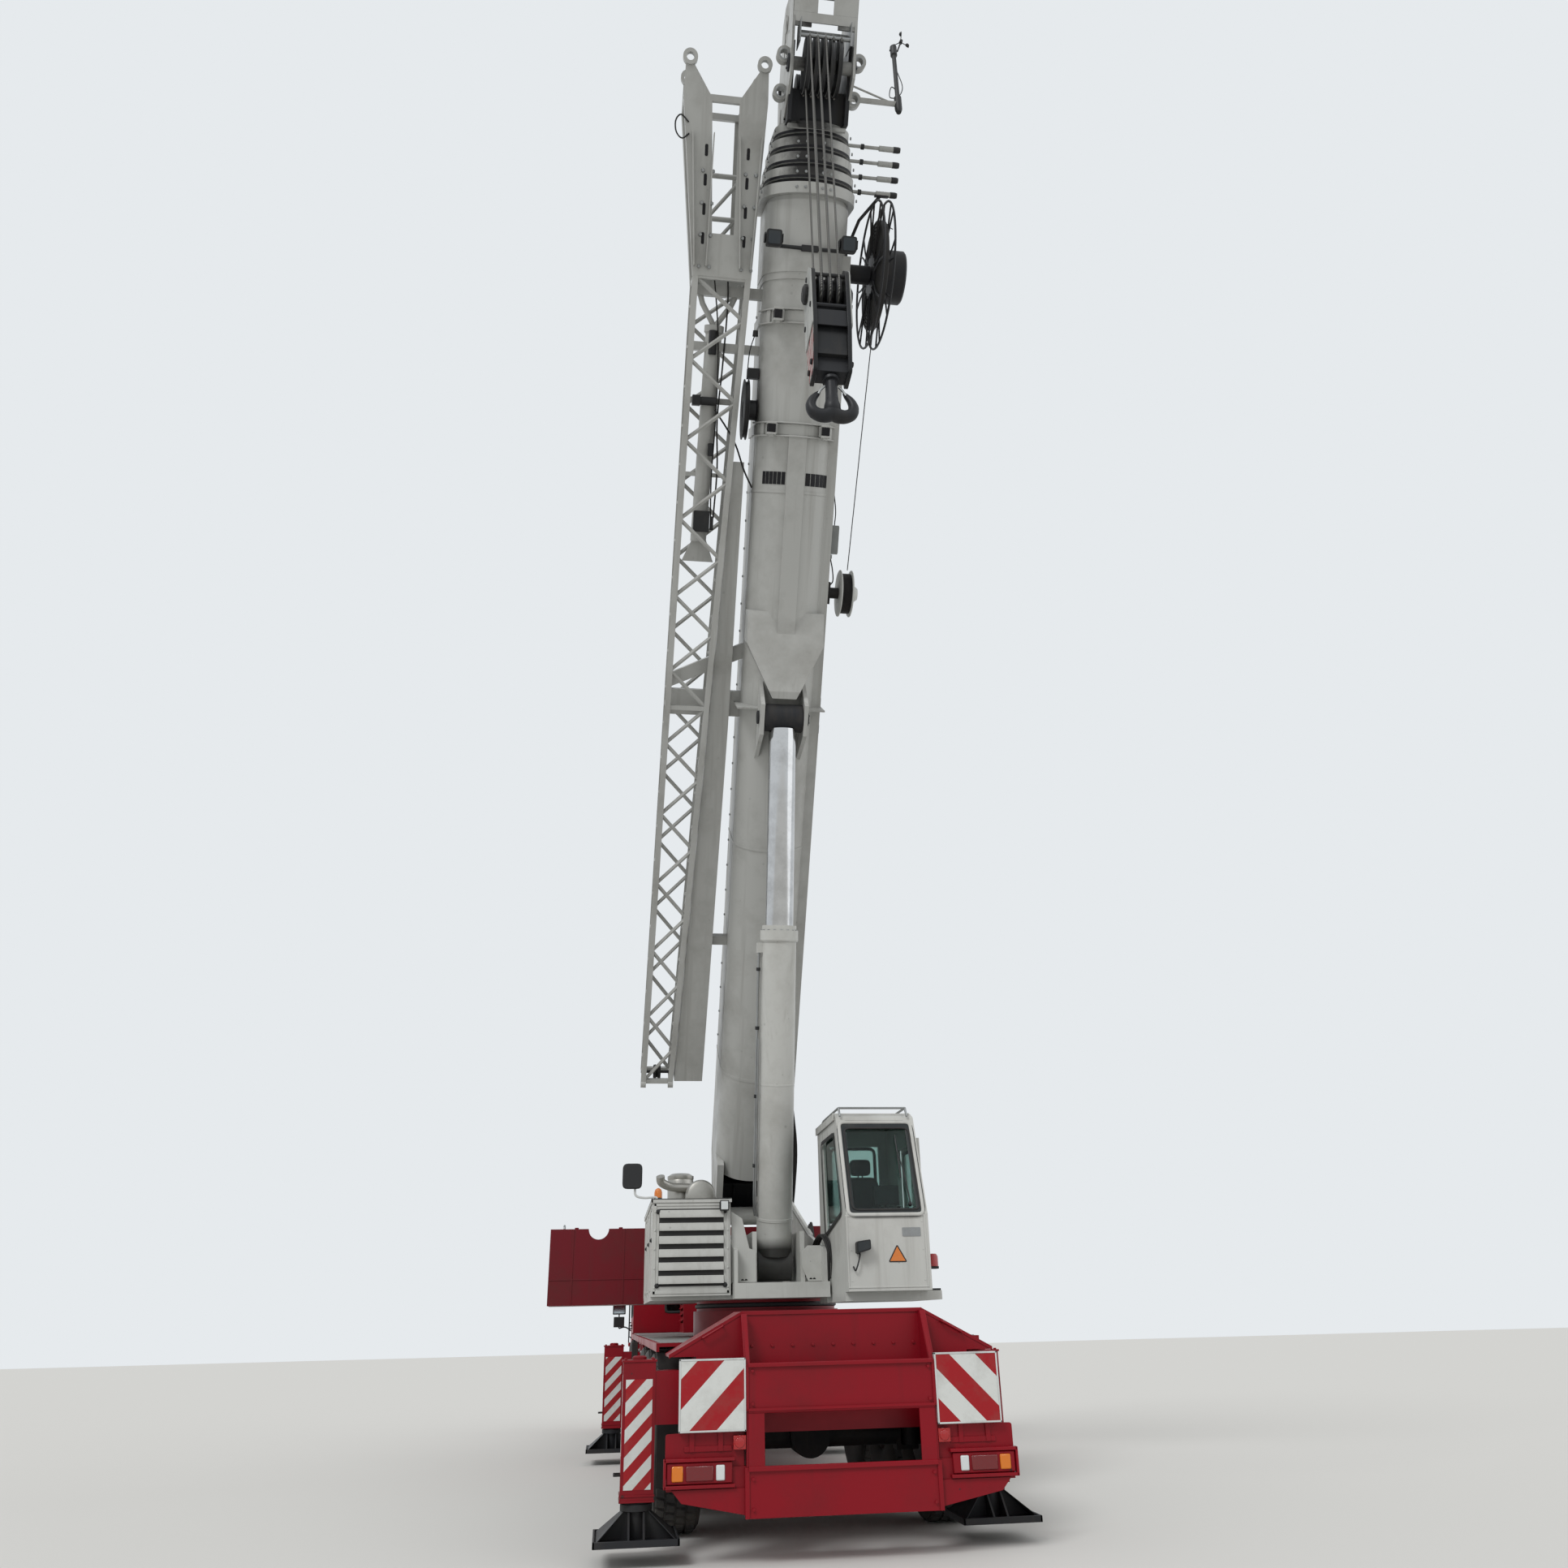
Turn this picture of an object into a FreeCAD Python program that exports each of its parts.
import FreeCAD, Part
import math
import os
import re

import Sketcher

os.makedirs("parts", exist_ok=True)

# Mobile crane, parked on its wheels with its boom raised over the carrier's tail.
# Millimetres. +Z is up, +Y is the way the carrier drives and +X is its right-hand side.
# Lengths along Y are counted from the slewing axis, and every piece is then moved by slew_y,
# so that the origin lies on the ground under the middle of the whole machine.

doc = FreeCAD.newDocument("mobile_crane")
sheet = doc.addObject("Spreadsheet::Sheet", "Sizes")

# name, value
SIZES = [
    # whole machine
    ("slew_y", -960),
    ("rest_gap", 0.3),
    ("run_gap", 0.05),
    ("free_gap", 6),
    # carrier frame
    ("body_half_width", 1480),
    ("frame_half_width", 480),
    ("frame_bottom", 960),
    ("frame_top", 1480),
    ("frame_wall", 40),
    ("frame_front", 9150),
    ("pedestal_radius", 880),
    ("pedestal_top", 1860),
    ("ring_radius", 840),
    ("deck_bottom", 1550),
    ("deck_thickness", 30),
    ("deck_front", 7130),
    ("skirt_depth", 40),
    ("skirt_thickness", 25),
    # outriggers
    ("rear_box_y", -4425),
    ("front_box_y", 3250),
    ("box_depth", 650),
    ("box_half_width", 1170),
    ("box_bottom", 900),
    ("box_top", 1480),
    ("tow_x", 1105),
    ("tow_half_width", 60),
    ("tow_plate", 30),
    ("tow_bore", 40),
    ("tow_drop", 65),
    ("hump_top", 1820),
    ("hump_top_half", 790),
    ("hump_edge_half", 1400),
    ("hump_edge_z", 1500),
    ("beam_offset", 165),
    ("beam_depth", 260),
    ("beam_bottom", 980),
    ("beam_height", 400),
    ("beam_inner_end", 1130),
    ("jack_x", 1350),
    ("jack_case", 270),
    ("jack_case_bottom", 430),
    ("jack_case_top", 1450),
    ("jack_leg_radius", 90),
    ("jack_leg_top", 1300),
    ("out_rear_left", 290),
    ("out_rear_right", 70),
    ("out_front_left", 450),
    ("out_front_right", 70),
    ("pad_bottom", 150),
    ("pad_size", 660),
    ("pad_plate", 25),
    ("pad_height", 220),
    # wheels and axles
    ("tyre_radius", 750),
    ("tyre_half_width", 225),
    ("rim_radius", 320),
    ("wheel_x", 1270),
    ("kingpin_x", 1000),
    ("kingpin_radius", 50),
    ("sleeve_radius", 100),
    ("sleeve_height", 220),
    ("yoke_plate", 40),
    ("spindle_radius", 60),
    ("axle_radius", 110),
    ("axle_y_1", 7150),
    ("axle_y_2", 5200),
    ("axle_y_3", 250),
    ("axle_y_4", -1450),
    ("axle_y_5", -3150),
    # carrier cab
    ("cab_half_width", 1450),
    ("cab_wall", 50),
    ("cab_back", 7250),
    ("cab_front", 9270),
    ("cab_step_y", 8150),
    ("cab_floor", 1160),
    ("cab_arch_z", 1590),
    ("cab_waist", 1800),
    ("cab_screen_top_y", 9000),
    ("cab_roof", 2740),
    ("door_front", 8990),
    ("door_back", 8190),
    ("door_bottom", 1260),
    ("door_top", 2620),
    ("hinge_radius", 12),
    ("bumper_bottom", 480),
    ("engine_width", 1000),
    ("engine_back", 5900),
    ("engine_front", 7050),
    ("engine_cover_top", 2300),
    # rear rack
    ("rack_back", 330),
    ("rack_half_width", 770),
    ("rack_bottom", 330),
    ("rack_sill", 680),
    ("rack_lintel", 1080),
    ("rack_top", 1420),
    ("rack_plate", 30),
    ("board_inner", 790),
    ("board_outer", 1330),
    ("board_bottom", 940),
    ("board_top", 1470),
    ("board_thickness", 60),
    ("lamp_inner", 900),
    ("lamp_outer", 1420),
    ("lamp_bottom", 560),
    ("lamp_top", 750),
    ("lamp_depth", 80),
    # superstructure
    ("floor_bottom", 1970),
    ("floor_top", 2130),
    ("floor_half_width", 535),
    ("shelf_thickness", 40),
    ("floor_front", -1600),
    ("floor_back", 4400),
    ("cheek_inner", 488),
    ("cheek_thickness", 40),
    ("foot_y", 2000),
    ("foot_z", 3100),
    ("foot_pin_radius", 120),
    ("housing_front", -1400),
    ("housing_back", 1300),
    ("housing_inner", 560),
    ("housing_outer", 1450),
    ("housing_top", 3030),
    ("housing_wall", 30),
    ("slot_pitch", 122),
    ("slot_height", 52),
    ("ballast_front", 3450),
    ("ballast_back", 4500),
    ("ballast_half_width", 2790),
    ("ballast_bottom", 2000),
    ("ballast_top", 3050),
    ("pocket_radius", 150),
    ("pocket_x", 2080),
    ("winch_y", 2830),
    ("winch_z", 2620),
    ("winch_radius", 260),
    ("winch_flange", 400),
    ("winch_shaft", 60),
    # crane cab
    ("ccab_inner", 560),
    ("ccab_outer", 1450),
    ("ccab_front", -2600),
    ("ccab_screen_top_y", -2200),
    ("ccab_back", -900),
    ("ccab_bottom", 2000),
    ("ccab_waist", 2760),
    ("ccab_roof", 3880),
    ("ccab_wall", 45),
    ("ccab_door_front", -2180),
    ("ccab_door_back", -1420),
    ("ccab_door_bottom", 2090),
    ("ccab_door_top", 3600),
    ("ccab_door_thickness", 40),
    # boom
    ("boom_angle", 54),
    ("boom_rise", 300),
    ("boom_width", 960),
    ("boom_depth", 1150),
    ("boom_step", 60),
    ("boom_wall", 14),
    ("boom_tail", 700),
    ("tray_width", 60),
    ("keel_start", 1300),
    ("keel_shoulder", 900),
    ("keel_end", 250),
    ("keel_tip_half", 150),
    ("bulkhead_half", 560),
    ("bulkhead_thickness", 20),
    ("boom_length", 13470),
    ("collar_pitch", 170),
    ("collar_length", 120),
    ("guide_radius", 20),
    ("guide_reach", 1105),
    ("guide_flange", 45),
    ("guide_roller", 32),
    ("guide_roller_length", 260),
    ("collar_lip", 85),
    ("tail_pitch", 60),
    ("nose_length", 830),
    ("lug_radius", 85),
    ("lug_bore", 45),
    ("lug_half_height", 60),
    ("head_width", 740),
    ("head_axis_s", 14700),
    ("head_axis_drop", 330),
    ("head_sheave", 300),
    # luffing cylinder
    ("ram_foot_y", -850),
    ("ram_foot_z", 2350),
    ("ram_pin_s", 7200),
    ("ram_pin_drop", 485),
    ("ram_pin_radius", 90),
    ("barrel_radius", 210),
    ("barrel_length", 3950),
    ("ram_rod_radius", 170),
    ("ram_rod_length", 4050),
    # jib
    ("reel_station", 12640),
    ("reel_radius", 860),
    ("reel_stand", 285),
    ("reel_axle_start", 80),
    ("jib_foot_outer", 1570),
    ("jib_foot_inner", 1130),
    ("jib_neck_outer", 1350),
    ("jib_neck_inner", 650),
    ("jib_tip_outer", 1540),
    ("jib_tip_inner", 560),
    ("jib_foot_s", 2000),
    ("jib_neck_s", 12400),
    ("jib_tip_s", 14340),
    ("jib_foot_depth", 440),
    ("jib_neck_depth", 700),
    ("jib_bays", 22),
    ("jib_box_gap", 15),
    ("jib_box_top", 10300),
    ("jib_chord", 35),
    # hook block
    ("rope_radius", 11),
    ("fall_x", -88),
    ("fall_pitch", 90),
    ("block_drop", 3380),
    ("block_height", 1330),
    ("block_half_depth", 215),
    ("block_half_width", 190),
    ("hook_drop", 5070),
    ("hook_throat", 95),
    ("hook_bar", 60),
]
VALUE = dict(SIZES)
for row, (alias, value) in enumerate(SIZES, start=1):
    sheet.set(f"A{row}", alias)
    sheet.set(f"B{row}", str(value))
    sheet.setAlias(f"B{row}", alias)
doc.recompute()

NODES = []
V = FreeCAD.Vector
TURN = {
    "x": FreeCAD.Rotation(V(0, 1, 0), 90),
    "y": FreeCAD.Rotation(V(1, 0, 0), -90),
    "z": FreeCAD.Rotation(),
}
RIGID_AXLES = (3, 4)
PLANE = {"x": "YZ_Plane", "y": "XZ_Plane", "z": "XY_Plane"}


def named(text):
    """An expression with the sheet's name put before each size in it."""
    return re.sub(r"[a-z_][a-z_0-9]*", lambda m: "Sizes." + m[0] if m[0] in VALUE else m[0], str(text))


def bind(thing, **sizes):
    """Bind properties to expressions. A double underscore stands for a dot."""
    for key, text in sizes.items():
        thing.setExpression(key.replace("__", "."), named(text))


def put(thing, x="0", y="0", z="0"):
    bind(thing, Placement__Base__x=x, Placement__Base__y=y, Placement__Base__z=z)
    return thing


def box(name, x0, x1, y0, y1, z0, z1):
    """A block between two limits on each axis."""
    thing = doc.addObject("Part::Box", name)
    bind(thing, Length=f"({x1}) - ({x0})", Width=f"({y1}) - ({y0})", Height=f"({z1}) - ({z0})")
    return put(thing, x0, y0, z0)


def rod(name, axis, centre, radius, start, end):
    """A round bar along an axis; centre holds its two other coordinates in X, Y, Z order."""
    thing = doc.addObject("Part::Cylinder", name)
    thing.Placement = FreeCAD.Placement(V(), TURN[axis])
    bind(thing, Radius=radius, Height=f"({end}) - ({start})")
    first, second = centre
    if axis == "x":
        return put(thing, start, first, second)
    if axis == "y":
        return put(thing, first, start, second)
    return put(thing, first, second, start)


def sketch_on(body, axis, outline):
    """A closed outline of straight lines, each corner held by expressions."""
    sketch = body.newObject("Sketcher::SketchObject", body.Name + "_outline")
    plane = [item for item in body.Origin.OriginFeatures if item.Role == PLANE[axis]][0]
    sketch.AttachmentSupport = [(plane, "")]
    sketch.MapMode = "FlatFace"
    count = len(outline)
    ring = [V(math.cos(2 * math.pi * i / count), math.sin(2 * math.pi * i / count), 0) for i in range(count)]
    for i in range(count):
        sketch.addGeometry(Part.LineSegment(ring[i] * 100, ring[(i + 1) % count] * 100))
    for i in range(count):
        sketch.addConstraint(Sketcher.Constraint("Coincident", i, 2, (i + 1) % count, 1))
    for i, (first, second) in enumerate(outline):
        for kind, text, guess in (("DistanceX", first, ring[i].x), ("DistanceY", second, ring[i].y)):
            index = sketch.addConstraint(Sketcher.Constraint(kind, -1, 1, i, 1, guess * 100))
            sketch.setExpression(f"Constraints[{index}]", named(text))
    return sketch


def prism(name, axis, outline, low, high):
    """A flat outline pulled along an axis from low to high."""
    body = doc.addObject("PartDesign::Body", name)
    sketch = sketch_on(body, axis, outline)
    start = f"-({high})" if axis == "y" else low
    sketch.setExpression("AttachmentOffset.Base.z", named(start))
    pad = body.newObject("PartDesign::Pad", name + "_pad")
    pad.Profile = sketch
    bind(pad, Length=f"({high}) - ({low})")
    return body


def fuse(name, pieces):
    thing = doc.addObject("Part::MultiFuse", name)
    thing.Shapes = pieces
    return thing


def cut(name, base, tools):
    thing = doc.addObject("Part::Cut", name)
    thing.Base = base
    thing.Tool = tools[0] if len(tools) == 1 else fuse(name + "_tools", tools)
    return thing


def cut_common(name, first, second):
    """What two solids share."""
    thing = doc.addObject("Part::Common", name)
    thing.Base, thing.Tool = first, second
    return thing


def ring(name, axis, centre, outer, inner, start, end):
    """A sleeve: a round bar with a bore right through it."""
    bar = rod(name + "_outer", axis, centre, outer, start, end)
    bore = rod(name + "_bore", axis, centre, inner, f"({start}) - 5", f"({end}) + 5")
    return cut(name, bar, [bore])


def node(label, pieces, whole=False):
    """A named sub-part of the machine, made of one piece or of pieces held together."""
    if whole and len(pieces) > 1:
        thing = fuse(label + "_joined", pieces)
    else:
        thing = doc.addObject("Part::Compound", label + "_set")
        thing.Links = pieces
    thing.Label = label
    put(thing, y="slew_y")
    NODES.append(thing)
    return thing


def on_boom(thing):
    """Stand a piece that is drawn along a level boom on the raised one."""
    thing.Placement = FreeCAD.Placement(V(), FreeCAD.Rotation(V(1, 0, 0), -10))
    bind(thing, Placement__Rotation__Angle="-boom_angle")
    return put(thing, "0", "slew_y + foot_y", "foot_z")


def sides(pieces_for):
    """The same pieces on the left and the right; pieces_for gets a name and a sign."""
    return [piece for side, sign in (("left", "-1"), ("right", "1")) for piece in pieces_for(side, sign)]


def side_box(name, sign, inner, outer, y0, y1, z0, z1):
    """A block at one side, between two distances from the middle."""
    if sign == "-1":
        return box(name, f"-({outer})", f"-({inner})", y0, y1, z0, z1)
    return box(name, inner, outer, y0, y1, z0, z1)


def carrier_frame():
    """The box girder with its two outrigger boxes, the humped tail and the ring's pedestal."""
    girder = box("girder", "-frame_half_width", "frame_half_width", "rear_box_y", "cab_step_y - 300",
                 "frame_bottom", "frame_top")
    hollow = box("girder_hollow", "-frame_half_width + frame_wall", "frame_half_width - frame_wall",
                 "rear_box_y - 10", "cab_step_y - 290", "frame_bottom + frame_wall", "frame_top - frame_wall")
    nose = box("frame_nose", "-frame_half_width + 60", "frame_half_width - 60", "cab_step_y - 400",
               "frame_front", "frame_bottom", "cab_floor - 60")
    boxes = []
    tunnels = []
    for place in ("rear", "front"):
        centre = f"{place}_box_y"
        boxes.append(box(place + "_outrigger_box", "-box_half_width", "box_half_width",
                         f"{centre} - box_depth / 2", f"{centre} + box_depth / 2", "box_bottom", "box_top"))
        for shift in ("-beam_offset", "+beam_offset"):
            middle = f"{centre} {shift}"
            tunnels.append(box("beam_tunnel", "-box_half_width - 10", "box_half_width + 10",
                               f"{middle} - beam_depth / 2 - free_gap", f"{middle} + beam_depth / 2 + free_gap",
                               "beam_bottom - rest_gap", "beam_bottom + beam_height + free_gap"))
    hump = prism("tail_hump", "y", [
        ("-hump_edge_half", "hump_edge_z - 20"), ("hump_edge_half", "hump_edge_z - 20"),
        ("hump_edge_half", "hump_edge_z"), ("hump_top_half", "hump_top"),
        ("-hump_top_half", "hump_top"), ("-hump_edge_half", "hump_edge_z")],
        "rear_box_y - box_depth / 2", "rear_box_y + box_depth / 2")
    pedestal = rod("ring_pedestal", "z", ("0", "0"), "pedestal_radius", "frame_top", "pedestal_top")
    slewing_ring = rod("slewing_ring", "z", ("0", "0"), "ring_radius", "pedestal_top", "floor_bottom - rest_gap")
    bumper = box("front_bumper", "-cab_half_width", "cab_half_width", "cab_step_y + 250", "cab_front + 30",
                 "bumper_bottom", "cab_floor - 60")
    rails = sides(lambda side, sign: [
        side_box(side + "_deck_rail", sign, "300", "380", "rear_box_y + box_depth / 2", "-pedestal_radius - 60",
                 "frame_top", "deck_bottom"),
        side_box(side + "_deck_rail_front", sign, "300", "380", "pedestal_radius + 60", "deck_front",
                 "frame_top", "deck_bottom"),
        side_box(side + "_cab_stand", sign, "300", "420", "cab_back + 20", "cab_step_y - 320",
                 "frame_top", "cab_arch_z"),
        side_box(side + "_cab_rest", sign, "200", "380", "cab_step_y + 300", "frame_front - 60",
                 "cab_floor - 60", "cab_floor")])
    posts = sides(lambda side, sign: [
        side_box(side + "_tow_plate", sign, "tow_x - tow_half_width", "tow_x + tow_half_width",
                 "rear_box_y - box_depth / 2", "rear_box_y - box_depth / 2 + tow_plate",
                 "box_bottom - tow_drop - tow_half_width", "box_bottom + 20")])
    shell = cut("girder_shell", girder, [hollow])
    solid = fuse("frame_solid", [shell, nose, hump, pedestal, slewing_ring, bumper] + boxes + rails + posts)
    eyes = sides(lambda side, sign: [
        rod(side + "_tow_bore", "y", (f"{sign} * tow_x", "box_bottom - tow_drop"), "tow_bore",
            "rear_box_y - box_depth / 2 - 10", "rear_box_y - box_depth / 2 + tow_plate + 10")])
    node("carrier_frame", [cut("frame_cut", solid, tunnels + eyes)])


def deck_and_lockers():
    """Chequer deck over the wheels, its side skirts, and the lockers between the axles."""
    plate = box("deck_plate", "-body_half_width", "body_half_width", "rear_box_y + box_depth / 2 + 10",
                "deck_front", "deck_bottom", "deck_bottom + deck_thickness")
    opening = rod("deck_opening", "z", ("0", "0"), "pedestal_radius + 20", "deck_bottom - 10",
                  "deck_bottom + deck_thickness + 10")
    skirts = sides(lambda side, sign: [
        side_box(side + "_skirt", sign, "body_half_width - skirt_thickness", "body_half_width",
                 "rear_box_y + box_depth / 2 + 10", "deck_front", "deck_bottom - skirt_depth", "deck_bottom")])
    # name, back and front along Y, bottom
    lockers = [
        ("tank", "front_box_y - box_depth / 2 - 1700", "front_box_y - box_depth / 2 - 60", "720"),
        ("tool_locker", "front_box_y + box_depth / 2 + 60", "front_box_y + box_depth / 2 + 620", "780")]
    made = []
    for name, back, front, bottom in lockers:
        made += sides(lambda side, sign: [
            side_box(side + "_" + name, sign, "frame_half_width", "body_half_width - skirt_thickness - 15",
                     back, front, bottom, "deck_bottom")])
    solid = fuse("deck_solid", [plate] + skirts + made)
    node("carrier_deck", [cut("deck_cut", solid, [opening])])


def running_gear():
    """Five axles on ten wheels; the first two and the last carry steered knuckles."""
    beams = []
    for axle in range(1, 6):
        y = f"axle_y_{axle}"
        bar = rod(f"axle_tube_{axle}", "x", (y, "tyre_radius"), "axle_radius", "-kingpin_x + 130", "kingpin_x - 130")
        drop = box(f"spring_seat_{axle}", "-frame_half_width + 40", "frame_half_width - 40", f"{y} - 120", f"{y} + 120",
                   "tyre_radius", "frame_bottom")
        case = rod(f"gear_case_{axle}", "y", ("0", "tyre_radius"), "axle_radius + 75", f"{y} - 190", f"{y} + 190")
        pieces = [bar, drop, case]
        for side, sign in (("left", "-1"), ("right", "1")):
            name = f"axle_{axle}_{side}"
            if axle in RIGID_AXLES:
                pieces.append(rod(name + "_spindle", "x", (y, "tyre_radius"), "spindle_radius",
                                  "kingpin_x - 140" if sign == "1" else "-wheel_x - 110",
                                  "wheel_x + 110" if sign == "1" else "-kingpin_x + 140"))
                continue
            middle = f"{sign} * kingpin_x"
            pieces.append(side_box(name + "_yoke_root", sign, "kingpin_x - 160", "kingpin_x - sleeve_radius - 15",
                                   f"{y} - 90", f"{y} + 90", "tyre_radius - sleeve_height / 2 - yoke_plate",
                                   "tyre_radius + sleeve_height / 2 + yoke_plate"))
            for level, low in (("upper", "tyre_radius + sleeve_height / 2"),
                               ("lower", "tyre_radius - sleeve_height / 2 - yoke_plate")):
                pieces.append(side_box(f"{name}_{level}_yoke", sign, "kingpin_x - 160", "kingpin_x + 55",
                                       f"{y} - 75", f"{y} + 75", low, f"{low} + yoke_plate"))
            pieces.append(rod(name + "_kingpin", "z", (middle, y), "kingpin_radius",
                              "tyre_radius - sleeve_height / 2 - 20", "tyre_radius + sleeve_height / 2 + 20"))
            sleeve = ring(name + "_sleeve", "z", (middle, y), "sleeve_radius", "kingpin_radius + run_gap",
                          "tyre_radius - sleeve_height / 2 + rest_gap", "tyre_radius + sleeve_height / 2 - rest_gap")
            near = "kingpin_x + 80"
            spindle = rod(name + "_spindle", "x", (y, "tyre_radius"), "spindle_radius",
                          near if sign == "1" else "-wheel_x - 110",
                          "wheel_x + 110" if sign == "1" else f"-({near})")
            node(f"knuckle_{axle}_{side}", [sleeve, spindle], whole=True)
        beams.append(fuse(f"axle_{axle}", pieces))
    node("axle_beams", beams)
    # axial place from the wheel's middle, radius
    profile = [
        ("-70", "spindle_radius + run_gap"), ("120", "spindle_radius + run_gap"), ("120", "130"), ("75", "150"),
        ("75", "rim_radius - 60"), ("tyre_half_width - 20", "rim_radius - 30"), ("tyre_half_width - 10", "rim_radius"),
        ("tyre_half_width", "rim_radius + 120"), ("tyre_half_width", "tyre_radius - 110"),
        ("tyre_half_width - 40", "tyre_radius"), ("-tyre_half_width + 40", "tyre_radius"),
        ("-tyre_half_width", "tyre_radius - 110"), ("-tyre_half_width", "rim_radius + 120"),
        ("-tyre_half_width + 10", "rim_radius"), ("-tyre_half_width + 20", "rim_radius - 30"),
        ("40", "rim_radius - 50"), ("40", "150"), ("-70", "130")]
    for axle in range(1, 6):
        for side, sign in (("left", "-1"), ("right", "1")):
            body = doc.addObject("PartDesign::Body", f"wheel_{axle}_{side}_body")
            sketch = sketch_on(body, "z", profile)
            turned = body.newObject("PartDesign::Revolution", body.Name + "_turned")
            turned.Profile = sketch
            turned.ReferenceAxis = (sketch, ["H_Axis"])
            turned.Angle = 360
            body.Placement = FreeCAD.Placement(V(), FreeCAD.Rotation(V(0, 0, 1), 180 if sign == "-1" else 0))
            put(body, f"{sign} * wheel_x", f"axle_y_{axle}", "tyre_radius")
            node(f"wheel_{axle}_{side}", [body])


def outriggers():
    """Four sliding beams with square jack cases, each with a jack leg and its foot pad."""
    corners = [("rear_left", "rear", "-1"), ("rear_right", "rear", "1"),
               ("front_left", "front", "-1"), ("front_right", "front", "1")]
    for corner, place, sign in corners:
        y = f"{place}_box_y + {sign} * beam_offset"
        reach = f"jack_x + out_{corner}"
        x = f"{sign} * ({reach})"
        arm = side_box(corner + "_arm", sign, f"out_{corner} - beam_inner_end", f"{reach} - jack_case / 2 + 20",
                       f"{y} - beam_depth / 2", f"{y} + beam_depth / 2", "beam_bottom", "beam_bottom + beam_height")
        case = side_box(corner + "_case", sign, f"{reach} - jack_case / 2", f"{reach} + jack_case / 2",
                        f"{y} - jack_case / 2", f"{y} + jack_case / 2", "jack_case_bottom", "jack_case_top")
        bore = rod(corner + "_bore", "z", (x, y), "jack_leg_radius + run_gap", "jack_case_bottom - 10",
                   "jack_leg_top + 40")
        node(f"outrigger_beam_{corner}", [cut(corner + "_beam", fuse(corner + "_beam_solid", [arm, case]), [bore])])
        leg = rod(corner + "_leg", "z", (x, y), "jack_leg_radius", "pad_bottom + pad_plate", "jack_leg_top")
        plate = box(corner + "_plate", f"{x} - pad_size / 2", f"{x} + pad_size / 2", f"{y} - pad_size / 2",
                    f"{y} + pad_size / 2", "pad_bottom", "pad_bottom + pad_plate")
        slope = [(f"{x} - pad_size / 2 + 20", "pad_bottom + pad_plate - 1"),
                 (f"{x} + pad_size / 2 - 20", "pad_bottom + pad_plate - 1"),
                 (f"{x} + jack_leg_radius + 10", "pad_bottom + pad_height"),
                 (f"{x} - jack_leg_radius - 10", "pad_bottom + pad_height")]
        ribs = [prism(f"{corner}_rib_{i}", "y", slope, f"{y} + {shift} - 8", f"{y} + {shift} + 8")
                for i, shift in enumerate((-60, 60))]
        slope_y = [(f"{y} - pad_size / 2 + 20", "pad_bottom + pad_plate - 1"),
                   (f"{y} + pad_size / 2 - 20", "pad_bottom + pad_plate - 1"),
                   (f"{y} + jack_leg_radius + 10", "pad_bottom + pad_height"),
                   (f"{y} - jack_leg_radius - 10", "pad_bottom + pad_height")]
        ribs += [prism(f"{corner}_cross_rib_{i}", "x", slope_y, f"{x} + {shift} - 8", f"{x} + {shift} + 8")
                 for i, shift in enumerate((-60, 60))]
        node(f"outrigger_leg_{corner}", [leg, plate] + ribs, whole=True)


def cab_outline(inset):
    """The carrier cab's side view, moved inwards by an inset."""
    i = inset
    return [(f"cab_back + {i}", f"cab_arch_z + {i}"), (f"cab_step_y + {i}", f"cab_arch_z + {i}"),
            (f"cab_step_y + {i}", f"cab_floor + {i}"), (f"cab_front - {i}", f"cab_floor + {i}"),
            (f"cab_front - {i}", "cab_waist"), (f"cab_screen_top_y - {i}", f"cab_roof - {i}"),
            (f"cab_back + {i}", f"cab_roof - {i}")]


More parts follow.
